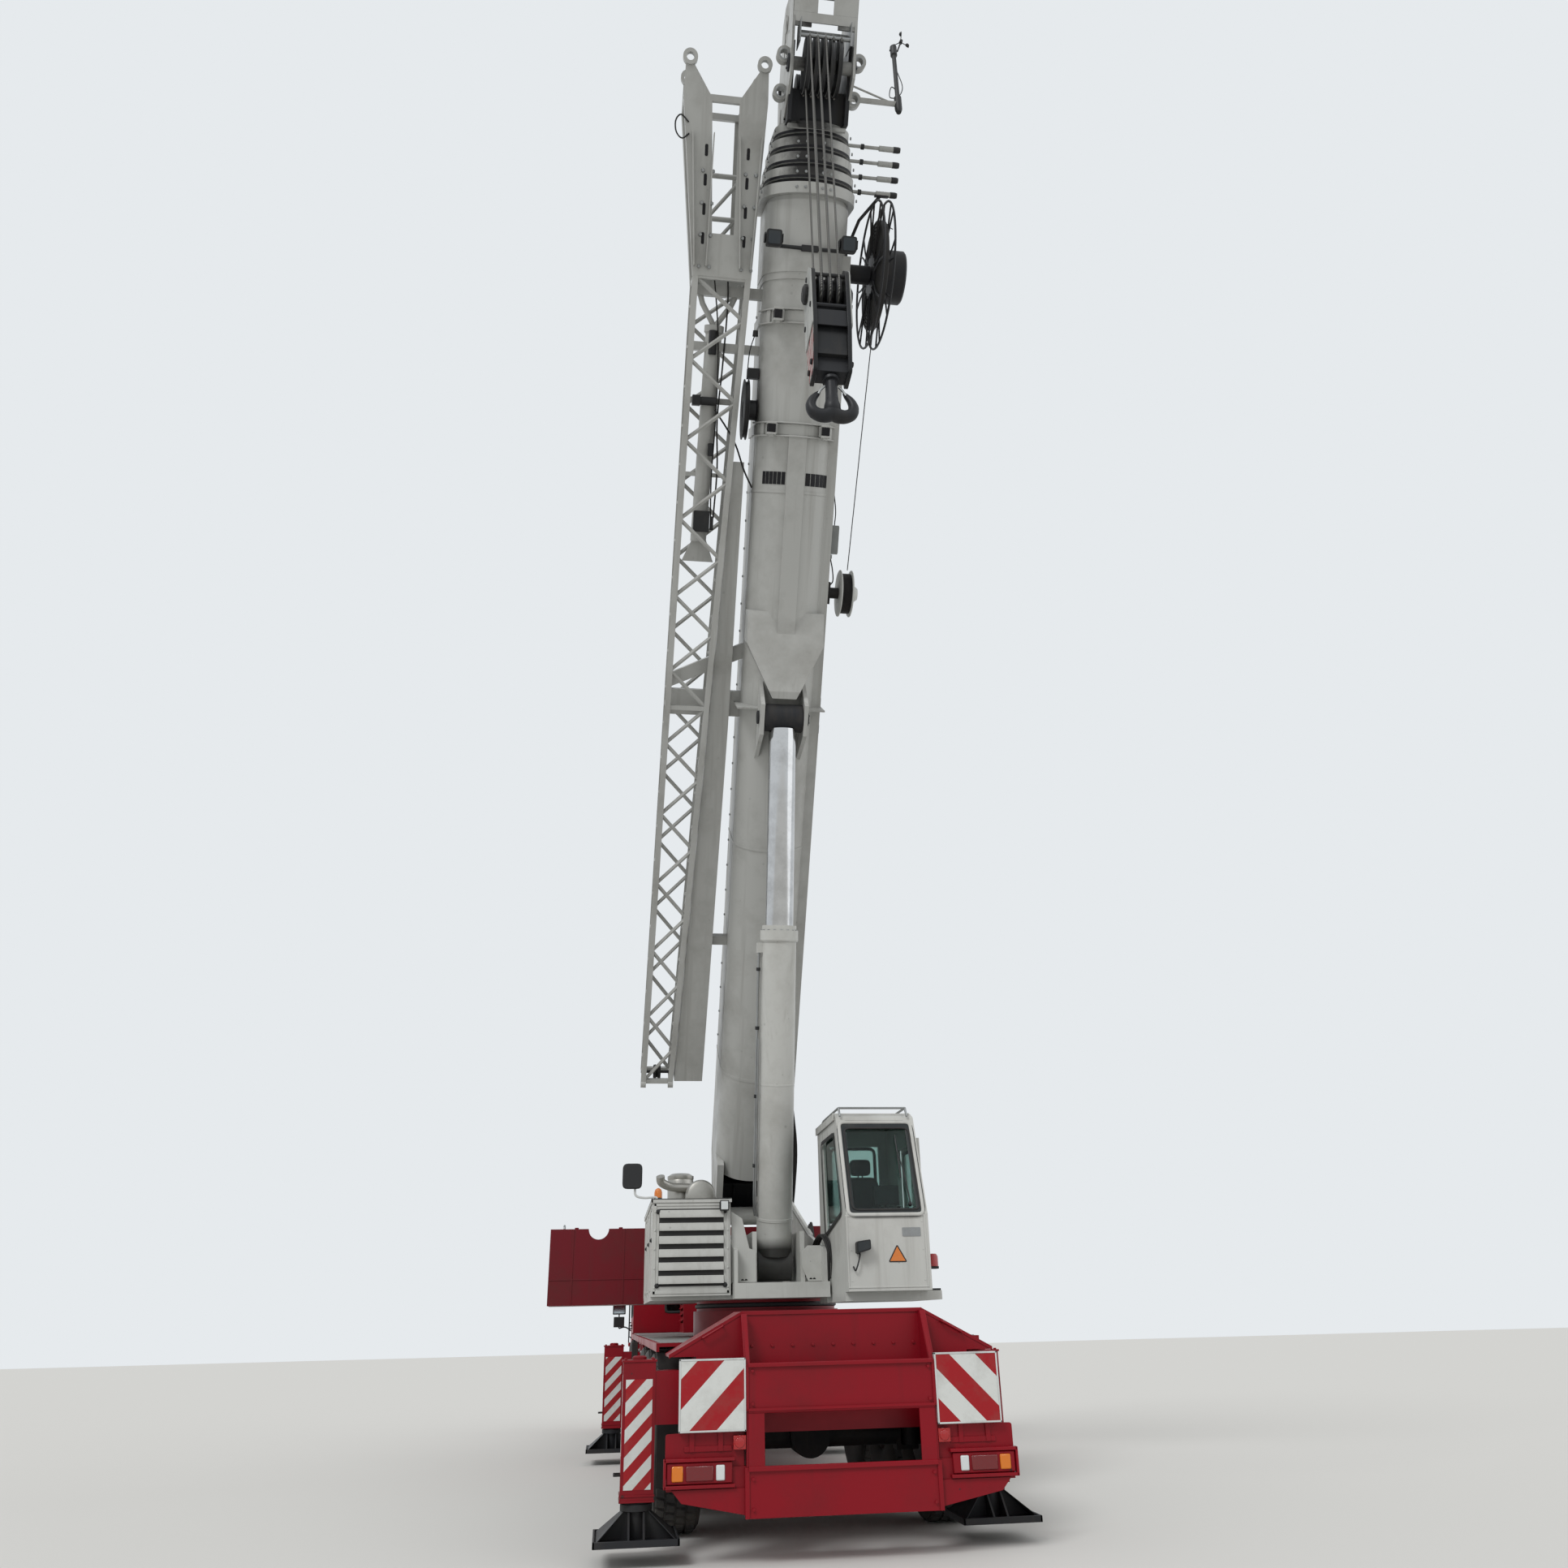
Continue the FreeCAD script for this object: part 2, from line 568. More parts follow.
def carrier_cab():
    """The driving cab: a hollow shell with two doors hung on pins at their front edges."""
    outer = prism("cab_outer", "x", cab_outline("0"), "-cab_half_width", "cab_half_width")
    inner = prism("cab_inner", "x", cab_outline("cab_wall"), "-cab_half_width + cab_wall",
                  "cab_half_width - cab_wall")
    screen = box("screen_opening", "-cab_half_width + 130", "cab_half_width - 130", "cab_screen_top_y - 80",
                 "cab_front + 10", "cab_waist + 40", "cab_roof - 150")
    rear = box("rear_opening", "-900", "900", "cab_back - 10", "cab_back + cab_wall + 10", "cab_waist + 100",
               "cab_roof - 200")
    doorways = sides(lambda side, sign: [
        side_box(side + "_doorway", sign, "cab_half_width - cab_wall - 5", "cab_half_width + 5",
                 "door_back - free_gap", "door_front + free_gap", "door_bottom - free_gap", "door_top + free_gap"),
        side_box(side + "_quarter", sign, "cab_half_width - cab_wall - 5", "cab_half_width + 5",
                 "cab_back + 180", "door_back - 140", "cab_waist + 60", "cab_roof - 220")])
    hinge_x = "cab_half_width + 25"
    hinge_y = "door_front + free_gap + 20"
    pins = sides(lambda side, sign: [
        piece for i, z in enumerate(("door_bottom + 150", "door_top - 250")) for piece in (
            rod(f"{side}_hinge_pin_{i}", "z", (f"{sign} * ({hinge_x})", hinge_y), "hinge_radius", f"{z} - 40", z),
            side_box(f"{side}_hinge_bracket_{i}", sign, "cab_half_width - 1", f"{hinge_x} + 20",
                     f"{hinge_y} - 20", f"{hinge_y} + 20", f"{z} - 60", f"{z} - 40"))])
    shell = cut("cab_cut", outer, [inner, screen, rear] + doorways)
    node("carrier_cab_shell", [shell] + pins, whole=True)
    slope = "(cab_front - cab_screen_top_y) / (cab_roof - cab_waist)"
    low, high = "cab_waist + 41", "cab_roof - 151"
    low_y = f"cab_front - ({low} - cab_waist) * {slope} - 20"
    high_y = f"cab_front - ({high} - cab_waist) * {slope} - 20"
    glass = prism("windscreen", "x", [(low_y, low), (high_y, high), (f"{high_y} - 8", high), (f"{low_y} - 8", low)],
                  "-cab_half_width + 130.3", "cab_half_width - 130.3")
    panes = sides(lambda side, sign: [
        side_box(side + "_quarter_pane", sign, "cab_half_width - 25", "cab_half_width - 19",
                 "cab_back + 180.3", "door_back - 140.3", "cab_waist + 60.3", "cab_roof - 220.3")])
    rear_pane = box("rear_pane", "-899.7", "899.7", "cab_back + 20", "cab_back + 26", "cab_waist + 100.3",
                    "cab_roof - 200.3")
    node("carrier_cab_glass", [glass, rear_pane] + panes)
    for side, sign in (("left", "-1"), ("right", "1")):
        panel = side_box(side + "_door_panel", sign, "cab_half_width - cab_wall", "cab_half_width",
                         "door_back", "door_front", "door_bottom", "door_top")
        window = side_box(side + "_door_window", sign, "cab_half_width - cab_wall - 5", "cab_half_width + 5",
                          "door_back + 110", "door_front - 110", "cab_waist + 40", "door_top - 90")
        step = cut(side + "_door_cut", panel, [window])
        knuckles = []
        for i, z in enumerate(("door_bottom + 150", "door_top - 250")):
            knuckles.append(ring(f"{side}_hinge_knuckle_{i}", "z", (f"{sign} * ({hinge_x})", hinge_y),
                                 "hinge_radius + 12", "hinge_radius + run_gap", f"{z} - 40 + rest_gap", z))
            knuckles.append(side_box(f"{side}_hinge_root_{i}", sign, "cab_half_width - 1", f"{hinge_x} - 10",
                                     "door_front - 80", "door_front", f"{z} - 40 + rest_gap", z))
            knuckles.append(side_box(f"{side}_hinge_strap_{i}", sign, "cab_half_width + rest_gap", f"{hinge_x} - 10",
                                     "door_front - 1", f"{hinge_y} - hinge_radius - 2", f"{z} - 40 + rest_gap", z))
        node(f"carrier_door_{side}", [step] + knuckles, whole=True)
    seats = sides(lambda side, sign: [
        side_box(side + "_seat_cushion", sign, "420", "920", "cab_step_y - 100", "cab_step_y + 400",
                 "cab_arch_z + 60", "cab_arch_z + 190"),
        side_box(side + "_seat_back", sign, "430", "910", "cab_step_y - 240", "cab_step_y - 80",
                 "cab_arch_z + 190 + rest_gap", "cab_arch_z + 800")])
    node("carrier_cab_seats", seats)
    stands = sides(lambda side, sign: [
        side_box(side + "_seat_stand", sign, "520", "820", "cab_step_y + 60", "cab_step_y + 380",
                 "cab_floor + cab_wall + rest_gap", "cab_arch_z + 59.7")])
    dash = prism("dashboard", "x", [
        ("cab_front - cab_wall - 10", "cab_floor + cab_wall + 300"), ("cab_front - cab_wall - 10", "cab_waist - 10"),
        ("cab_front - 420", "cab_waist - 40"), ("cab_front - 460", "cab_waist - 200"),
        ("cab_front - 260", "cab_floor + cab_wall + 300")], "-cab_half_width + 80", "cab_half_width - 80")
    column = rod("steering_column", "y", ("-670", "cab_waist - 60"), "35", "cab_front - 560", "cab_front - 400")
    wheel = doc.addObject("Part::Torus", "steering_wheel")
    wheel.Placement = FreeCAD.Placement(V(), FreeCAD.Rotation(V(1, 0, 0), 90))
    wheel.Radius1 = 210
    wheel.Radius2 = 16
    put(wheel, "-670", "cab_front - 555", "cab_waist - 60")
    spokes = box("steering_spokes", "-870", "-470", "cab_front - 562", "cab_front - 548", "cab_waist - 85",
                 "cab_waist - 35")
    foot = box("dash_foot", "-cab_half_width + 80", "cab_half_width - 80", "cab_front - cab_wall - 40",
               "cab_front - cab_wall - 10", "cab_floor + cab_wall + rest_gap", "cab_floor + cab_wall + 301")
    node("carrier_cab_dash", [fuse("dash_set", [dash, foot, column, wheel, spokes])] + stands)


def carrier_engine():
    """One heavy block, under a cover behind the driving cab."""
    node("carrier_engine", [box("engine_block", "-engine_width / 2", "engine_width / 2", "engine_back + 60",
                                "engine_front - 60", "deck_bottom + deck_thickness", "engine_cover_top - 200")])
    outer = box("cover_outer", "-engine_width / 2 - 150", "engine_width / 2 + 150", "engine_back", "engine_front",
                "deck_bottom + deck_thickness", "engine_cover_top")
    inner = box("cover_inner", "-engine_width / 2 - 110", "engine_width / 2 + 110", "engine_back + 40",
                "engine_front - 40", "deck_bottom + deck_thickness - 10", "engine_cover_top - 40")
    slots = []
    for i in range(5):
        low = f"deck_bottom + 180 + {i} * 95"
        slots += sides(lambda side, sign: [
            side_box(f"{side}_cover_slot_{i}", sign, "engine_width / 2 + 100", "engine_width / 2 + 160",
                     "engine_back + 200", "engine_front - 200", low, f"{low} + 40")])
    pipe = rod("exhaust_stack", "z", ("engine_width / 2 + 330", "engine_front - 300"), "110",
               "deck_bottom + deck_thickness", "engine_cover_top + 50")
    node("engine_cover", [cut("cover_cut", outer, [inner] + slots), pipe])


def rear_rack():
    """The open stowage rack at the tail, with the striped boards and the lamp units beside it."""
    wall = "rear_box_y - box_depth / 2"
    back = f"{wall} - rack_back"
    face = f"{back} + rack_plate"
    upper = box("rack_upper", "-rack_half_width", "rack_half_width", back, face, "rack_lintel", "rack_top")
    lower = box("rack_lower", "-rack_half_width", "rack_half_width", back, face, "rack_bottom", "rack_sill")
    lip = box("rack_lip", "-rack_half_width", "rack_half_width", f"{back} - 25", face, "rack_sill - 25", "rack_sill")
    flange = box("rack_flange", "-rack_half_width", "rack_half_width", f"{back} - 25", face, "rack_top - 20", "rack_top")
    flange_low = box("rack_flange_low", "-rack_half_width", "rack_half_width", f"{back} - 25", face, "rack_lintel",
                     "rack_lintel + 20")
    floor = box("rack_floor", "-rack_half_width", "rack_half_width", back, wall, "rack_bottom", "rack_bottom + 30")
    cheeks = sides(lambda side, sign: [
        prism(side + "_rack_cheek", "x", [
            (back, "rack_bottom"), (wall, "rack_bottom"), (wall, "hump_top - 20"), (f"{wall} - 90", "hump_top - 20"),
            (f"{back}", "rack_top")],
            f"{sign} * rack_half_width - 15", f"{sign} * rack_half_width + 15"),
        rod(side + "_rack_post", "z", (f"{sign} * (rack_half_width - 60)", f"{back} + 45"), "28",
            "rack_sill - 10", "rack_lintel + 10"),
        side_box(side + "_board_arm", sign, "rack_half_width", "board_outer - 60", f"{back} + 40", f"{back} + 80",
                 "board_bottom + 60", "board_bottom + 140"),
        side_box(side + "_lamp_bar", sign, "rack_half_width", "lamp_outer", f"{back} + 40", f"{back} + 100",
                 "lamp_bottom - 30", "lamp_top - 60"),
        prism(side + "_bumper", "y", [
            (f"{sign} * rack_half_width", "rack_bottom + 20"), (f"{sign} * (lamp_outer - 120)", "lamp_bottom - 110"),
            (f"{sign} * (lamp_outer - 40)", "lamp_bottom - 20"), (f"{sign} * rack_half_width", "lamp_bottom - 20")],
            f"{back} + 20", f"{back} + 100")])
    node("rear_rack", [upper, lower, lip, flange, flange_low, floor] + cheeks, whole=True)
    boards = sides(lambda side, sign: [
        side_box(side + "_board", sign, "board_inner", "board_outer", f"{back} + 40 - rest_gap - board_thickness",
                 f"{back} + 40 - rest_gap", "board_bottom", "board_top")])
    lamps = sides(lambda side, sign: [
        side_box(side + "_lamp", sign, "lamp_inner", "lamp_outer", f"{back} + 40 - rest_gap - lamp_depth",
                 f"{back} + 40 - rest_gap", "lamp_bottom", "lamp_top")])
    node("rear_boards_and_lamps", boards + lamps)


def turntable():
    """The rotating frame: floor, the tall cheeks that hold the boom's pin, and the ram's fork."""
    floor = box("table_floor", "-floor_half_width", "floor_half_width", "floor_front", "floor_back",
                "floor_bottom", "floor_top")
    outline = [("floor_front + 100", "floor_top - 20"), ("winch_y + 520", "floor_top - 20"),
               ("winch_y + 520", "winch_z + 200"), ("foot_y + 300", "foot_z + 260"), ("foot_y - 240", "foot_z + 260"),
               ("-350", "2700"), ("floor_front + 100", "2480")]
    cheeks = sides(lambda side, sign: [
        prism(side + "_cheek", "x", outline, f"{sign} * (cheek_inner + cheek_thickness / 2) - cheek_thickness / 2",
              f"{sign} * (cheek_inner + cheek_thickness / 2) + cheek_thickness / 2"),
        side_box(side + "_ram_cheek", sign, "250", "300", "ram_foot_y - 450", "ram_foot_y + 350", "floor_top - 20",
                 "ram_foot_z + 330"),
        rod(side + "_ram_boss", "x", ("ram_foot_y", "ram_foot_z"), "150",
            "-330" if sign == "-1" else "300", "-300" if sign == "-1" else "330"),
        rod(side + "_foot_boss", "x", ("foot_y", "foot_z"), "foot_pin_radius + 90",
            "-cheek_inner - cheek_thickness - 25" if sign == "-1" else "cheek_inner + cheek_thickness",
            "-cheek_inner - cheek_thickness" if sign == "-1" else "cheek_inner + cheek_thickness + 25")])
    pin = rod("boom_foot_pin", "x", ("foot_y", "foot_z"), "foot_pin_radius",
              "-cheek_inner - cheek_thickness", "cheek_inner + cheek_thickness")
    arm = box("cab_arm", "floor_half_width - 20", "ccab_outer", "-1500", "-1000", "floor_bottom - 60",
              "ccab_bottom - rest_gap")
    tray = box("cab_tray", "ccab_inner", "ccab_outer + 150", "-2400", "-1000", "floor_bottom - 60",
               "ccab_bottom - rest_gap")
    shelf = box("housing_shelf", "-housing_outer", "-floor_half_width + 20", "housing_front + 100",
                "housing_back - 100", "floor_bottom", "floor_bottom + shelf_thickness")
    winch_bore = rod("winch_bore", "x", ("winch_y", "winch_z"), "winch_shaft + run_gap",
                     "-cheek_inner - 100", "cheek_inner + 100")
    solid = fuse("table_solid", [floor, pin, arm, tray, shelf] + cheeks)
    node("turntable_frame", [cut("table_cut", solid, [winch_bore])])
    drum = rod("winch_drum", "x", ("winch_y", "winch_z"), "winch_radius", "-cheek_inner + 40", "cheek_inner - 40")
    flanges = []
    for side, start, end in (("left", "-cheek_inner + 20", "-cheek_inner + 45"),
                             ("right", "cheek_inner - 45", "cheek_inner - 20")):
        flanges.append(rod(side + "_winch_flange", "x", ("winch_y", "winch_z"), "winch_flange", start, end))
    shaft = rod("winch_axle", "x", ("winch_y", "winch_z"), "winch_shaft", "-cheek_inner - cheek_thickness",
                "cheek_inner + cheek_thickness")
    node("hoist_winch", [drum, shaft] + flanges, whole=True)


def housing():
    """The machinery housing at the crane's left, louvred in front, with its exhaust on top."""
    low = "floor_bottom + shelf_thickness + rest_gap"
    outer = box("housing_outer_box", "-housing_outer", "-housing_inner", "housing_front", "housing_back",
                low, "housing_top")
    inner = box("housing_inner_box", "-housing_outer + housing_wall", "-housing_inner - housing_wall",
                "housing_front + housing_wall", "housing_back - housing_wall", f"{low} + housing_wall",
                "housing_top - housing_wall")
    slots = [box(f"louvre_{i}", "-housing_outer + 110", "-housing_inner - 110", "housing_front - 10",
                 "housing_front + housing_wall + 10", f"2190 + {i} * slot_pitch", f"2190 + {i} * slot_pitch + slot_height")
             for i in range(6)]
    node("machinery_housing", [cut("housing_cut", outer, [inner] + slots)])
    top = "housing_top + rest_gap"
    can = rod("filter_can", "z", ("-1020", "700"), "170", top, "housing_top + 500")
    silencer = rod("silencer", "y", ("-790", "housing_top + 190 + rest_gap"), "190", "120", "1150")
    tail = rod("tail_pipe", "x", ("450", "housing_top + 300"), "60", "-1300", "-800")
    exhaust = fuse("engine_exhaust", [can, silencer, tail])
    beacon = rod("beacon", "z", ("-1385", "housing_front + 120"), "50", top, "housing_top + 150")
    lamp = box("work_lamp", "-680", "-590", "housing_front - 90", "housing_front - rest_gap", "housing_top - 130",
               "housing_top - 20")
    arm_low = box("mirror_arm_low", "-1640", "-1400", "housing_front + 30", "housing_front + 50", top,
                  "housing_top + 20")
    arm_high = box("mirror_arm_high", "-1655", "-1635", "housing_front + 30", "housing_front + 50", top,
                   "housing_top + 330")
    glass = box("mirror", "-1800", "-1575", "housing_front + 5", "housing_front + 31", "housing_top + 120",
                "housing_top + 400")
    node("housing_fittings", [exhaust, beacon, lamp, fuse("mirror_set", [arm_low, arm_high, glass])])


def ballast():
    """The counterweight: a wide slab whose wings hang below its seat, with sling pockets on top."""
    slab = box("ballast_slab", "-ballast_half_width", "ballast_half_width", "ballast_front", "ballast_back",
               "floor_top + rest_gap", "ballast_top")
    wings = sides(lambda side, sign: [
        side_box(side + "_ballast_wing", sign, "floor_half_width + 60", "ballast_half_width", "ballast_front",
                 "ballast_back", "ballast_bottom", "floor_top + rest_gap + 1")])
    pockets = [rod(f"sling_pocket_{side}", "y", (f"{sign} * pocket_x", "ballast_top"), "pocket_radius",
                   "ballast_front - 10", "ballast_back + 10") for side, sign in (("left", "-1"), ("right", "1"))]
    node("counterweight", [cut("ballast_cut", fuse("ballast_solid", [slab] + wings), pockets)])


def crane_outline(inset):
    """The crane cab's side view, moved inwards by an inset."""
    i = inset
    return [(f"ccab_back - {i}", f"ccab_bottom + {i}"), (f"ccab_front + {i}", f"ccab_bottom + {i}"),
            (f"ccab_front + {i}", "ccab_waist"),
            (f"ccab_screen_top_y + {i}", f"ccab_roof - 60 - {i}"), (f"ccab_screen_top_y + 120 + {i}", f"ccab_roof - {i}"),
            (f"ccab_back - {i}", f"ccab_roof - {i}")]


def crane_cab():
    """The operator's cab: a narrow hollow shell with a sloping screen and a sliding side door."""
    outer = prism("ccab_outer_shape", "x", crane_outline("0"), "ccab_inner", "ccab_outer")
    inner = prism("ccab_inner_shape", "x", crane_outline("ccab_wall"), "ccab_inner + ccab_wall",
                  "ccab_outer - ccab_wall")
    screen = box("ccab_screen_opening", "ccab_inner + 70", "ccab_outer - 70", "ccab_front - 10",
                 "ccab_screen_top_y + 140", "ccab_waist + 40", "ccab_roof - 170")
    doorway = box("ccab_doorway", "ccab_outer - ccab_wall - 5", "ccab_outer + 5", "ccab_door_front + 60",
                  "ccab_door_back - 60", "ccab_door_bottom + 60", "ccab_door_top - 60")
    side_window = prism("ccab_side_opening", "x", [
        ("ccab_front + 260", "ccab_waist + 60"), ("ccab_back - 420", "ccab_waist - 140"),
        ("ccab_back - 300", "ccab_roof - 200"), ("ccab_screen_top_y + 140", "ccab_roof - 200")],
        "ccab_inner - 5", "ccab_inner + ccab_wall + 5")
    rear = box("ccab_rear_opening", "ccab_inner + 150", "ccab_outer - 150", "ccab_back - ccab_wall - 5",
               "ccab_back + 5", "ccab_waist + 60", "ccab_roof - 220")
    rails = [box(f"ccab_rail_{i}", "ccab_outer - 1", "ccab_outer + 22", "ccab_door_front - 20", "ccab_back + 40",
                 f"{z} - 15", f"{z} + 15") for i, z in enumerate(("ccab_door_bottom + 20", "ccab_door_top - 20"))]
    shell = cut("ccab_cut", outer, [inner, screen, doorway, side_window, rear])
    node("crane_cab_shell", [shell] + rails, whole=True)
    slope = "(ccab_screen_top_y - ccab_front) / (ccab_roof - 60 - ccab_waist)"
    low, high = "ccab_waist + 41", "ccab_roof - 171"
    low_y = f"ccab_front + ({low} - ccab_waist) * {slope} + 15"
    high_y = f"ccab_front + ({high} - ccab_waist) * {slope} + 15"
    glass = prism("ccab_windscreen", "x", [(low_y, low), (high_y, high), (f"{high_y} + 8", high),
                                           (f"{low_y} + 8", low)], "ccab_inner + 70.3", "ccab_outer - 70.3")
    side_pane = prism("ccab_side_pane", "x", [
        ("ccab_front + 262", "ccab_waist + 60.5"), ("ccab_back - 420.5", "ccab_waist - 139.5"),
        ("ccab_back - 300.5", "ccab_roof - 200.5"), ("ccab_screen_top_y + 141", "ccab_roof - 200.5")],
        "ccab_inner + 18", "ccab_inner + 24")
    rear_pane = box("ccab_rear_pane", "ccab_inner + 150.3", "ccab_outer - 150.3", "ccab_back - 26",
                    "ccab_back - 20", "ccab_waist + 60.3", "ccab_roof - 220.3")
    node("crane_cab_glass", [glass, side_pane, rear_pane])
    panel = box("ccab_door_panel", "ccab_outer + 22 + rest_gap", "ccab_outer + 22 + ccab_door_thickness",
                "ccab_door_front", "ccab_door_back", "ccab_door_bottom", "ccab_door_top")
    window = box("ccab_door_window", "ccab_outer", "ccab_outer + 100", "ccab_door_front + 90",
                 "ccab_door_back - 90", "ccab_waist - 60", "ccab_door_top - 90")
    node("crane_cab_door", [cut("ccab_door_cut", panel, [window])])
    middle = "(ccab_inner + ccab_outer) / 2"
    floor = "ccab_bottom + ccab_wall + rest_gap"
    cushion = box("operator_cushion", f"{middle} - 240", f"{middle} + 240", "-1850", "-1370", "2420", "2540")
    back = box("operator_back", f"{middle} - 230", f"{middle} + 230", "-1390", "-1260", "2540 + rest_gap", "3250")
    node("crane_cab_seat", [cushion, back])
    stand = box("operator_stand", f"{middle} - 170", f"{middle} + 170", "-1800", "-1420", floor, "2419.7")
    consoles = [box(f"operator_console_{i}", f"{middle} {shift} - 50", f"{middle} {shift} + 50", "-2000", "-1400",
                    floor, "2680") for i, shift in enumerate(("- 310", "+ 310"))]
    node("crane_cab_console", [stand] + consoles)


def u_bar(name, width, depth, low, high):
    """A boom section's solid outline: flat top and sides over a half-round belly."""
    base = f"boom_rise - ({depth}) / 2"
    top = box(name + "_top", f"-({width}) / 2", f"({width}) / 2", f"-({high})", f"-({low})",
              f"{base} + ({width}) / 2", f"{base} + ({depth})")
    belly = rod(name + "_belly", "y", ("0", f"{base} + ({width}) / 2"), f"({width}) / 2", f"-({high})", f"-({low})")
    return fuse(name, [top, belly])


def boom():
    """Base section and five telescopic sections, each with a collar and the last with the head."""
    for k in range(6):
        width = f"boom_width - {k} * boom_step"
        depth = f"boom_depth - {k} * boom_step"
        tail = f"boom_tail + {k} * tail_pitch"
        front = f"boom_length + {k} * collar_pitch"
        outer = u_bar(f"section_{k}_outer", width, depth, tail, front)
        pieces = [outer]
        if k < 5:
            collar = u_bar(f"section_{k}_collar", f"{width} + 2 * collar_lip", f"{depth} + 2 * collar_lip",
                           f"{front} - collar_length", front)
            pieces.append(collar)
        inner = u_bar(f"section_{k}_inner", f"{width} - 2 * boom_wall", f"{depth} - 2 * boom_wall",
                      f"{tail} - 900", f"{front} - collar_length")
        mouth = u_bar(f"section_{k}_mouth", f"{width} - boom_step + 2 * rest_gap",
                      f"{depth} - boom_step + 2 * rest_gap", f"{front} - 200", f"{front} + 10")
        if k == 0:
            pieces += base_fittings()
            bore = rod("foot_bore", "x", ("0", "0"), "foot_pin_radius + run_gap", "-600", "600")
            solid = cut("base_cut", fuse("base_solid", pieces), [inner, mouth, bore])
            lug_pin = rod("ram_head_pin", "x", ("-ram_pin_s", "-ram_pin_drop"), "ram_pin_radius", "-300", "300")
            made = fuse("base_whole", [solid, lug_pin])
            made.Label = "boom_base"
            NODES.append(on_boom(made))
        elif k < 5:
            tube = cut(f"section_{k}_cut", fuse(f"section_{k}_solid", pieces), [inner, mouth])
            made = doc.addObject("Part::Compound", f"section_{k}_set")
            made.Links = [tube, cable_guide(k, f"({width}) / 2 + collar_lip", front)]
            made.Label = f"boom_section_{k}"
            NODES.append(on_boom(made))
        else:
            shell = cut("tip_cut", outer, [inner])
            made = fuse("tip_whole", [shell] + head_pieces(front))
            made.Label = "boom_section_5"
            NODES.append(on_boom(made))


def cable_guide(k, side_x, front):
    """A rod on a round flange at the collar's right side, with the roller that leads the reel's cable."""
    hub = (f"-({front}) + collar_length / 2", "boom_rise")
    seat = f"{side_x} + rest_gap"
    return fuse(f"cable_guide_{k}", [
        rod(f"guide_flange_{k}", "x", hub, "guide_flange", seat, f"{seat} + 14"),
        rod(f"guide_rod_{k}", "x", hub, "guide_radius", seat, "guide_reach"),
        rod(f"guide_roller_{k}", "x", hub, "guide_roller", "guide_reach - guide_roller_length", "guide_reach - 10")])


def base_fittings():
    """What is welded to the base section: foot plates, the ram's gussets, lug collars and tray."""
    foot = [prism(f"foot_plate_{side}", "x", [
        ("220", "-160"), ("0", "-260"), ("-boom_tail - 200", "boom_rise - boom_depth / 2 + 80"),
        ("-boom_tail - 200", "boom_rise + boom_depth / 2"), ("-boom_tail + 150", "boom_rise + boom_depth / 2"),
        ("240", "150")], f"{sign} * (boom_width / 2 - 45) - 45", f"{sign} * (boom_width / 2 - 45) + 45")
        for side, sign in (("left", "-1"), ("right", "1"))]
    keel = cut_common("ram_keel", prism("keel_side", "x", [
        ("-ram_pin_s - keel_start", "boom_rise - boom_depth / 2 + 60"),
        ("-ram_pin_s - keel_end - 90", "-ram_pin_drop - 40"), ("-ram_pin_s - keel_end", "-ram_pin_drop - 40"),
        ("-ram_pin_s - keel_end", "boom_rise - 60"), ("-ram_pin_s - keel_start", "boom_rise - 60")],
        "-boom_width / 2", "boom_width / 2"), prism("keel_plan", "z", [
            ("-boom_width / 2", "-ram_pin_s - keel_start"), ("boom_width / 2", "-ram_pin_s - keel_start"),
            ("boom_width / 2", "-ram_pin_s - keel_shoulder"), ("keel_tip_half", "-ram_pin_s - keel_end"),
            ("-keel_tip_half", "-ram_pin_s - keel_end"), ("-boom_width / 2", "-ram_pin_s - keel_shoulder")],
            "-ram_pin_drop - 100", "boom_rise"))
    bulkhead = box("ram_bulkhead", "-bulkhead_half", "bulkhead_half", "-ram_pin_s - 70 - bulkhead_thickness",
                   "-ram_pin_s - 70", "-300", "boom_rise - 60")
    gussets = [keel, bulkhead] + [prism(f"ram_gusset_{side}", "x", [
        ("-ram_pin_s + 600", "-150"), ("-ram_pin_s - 450", "-150"), ("-ram_pin_s - 190", "-ram_pin_drop - 170"),
        ("-ram_pin_s + 190", "-ram_pin_drop - 170")], f"{sign} * 272 - 25", f"{sign} * 272 + 25")
        for side, sign in (("left", "-1"), ("right", "1"))]
    collars = []
    for i, station in enumerate(("10700", "12000")):
        collars.append(u_bar(f"lug_collar_{i}", "boom_width + 40", "boom_depth + 40", f"{station} - 60", f"{station} + 60"))
        collars += [box(f"collar_lug_{i}_{j}", f"{x} - 45", f"{x} + 45", f"-{station} - 60", f"-{station} + 60",
                        "boom_rise - boom_depth / 2 - 10", "boom_rise - boom_depth / 2 + 150")
                    for j, x in enumerate(("-300", "300"))]
    tray = box("pipe_tray", "boom_width / 2 - 70", "boom_width / 2 + tray_width", "-boom_length + 700", "-1600",
               "boom_rise - 330", "boom_rise - 290")
    tray_side = box("pipe_tray_side", "boom_width / 2 + tray_width - 10", "boom_width / 2 + tray_width",
                    "-boom_length + 700", "-1600", "boom_rise - 330", "boom_rise - 230")
    rib = box("belly_rib", "-110", "110", "-10640", "-ram_pin_s - keel_start + 300", "boom_rise - boom_depth / 2 - 25",
              "boom_rise - boom_depth / 2 + 60")
    return foot + gussets + collars + [tray, tray_side, rib]


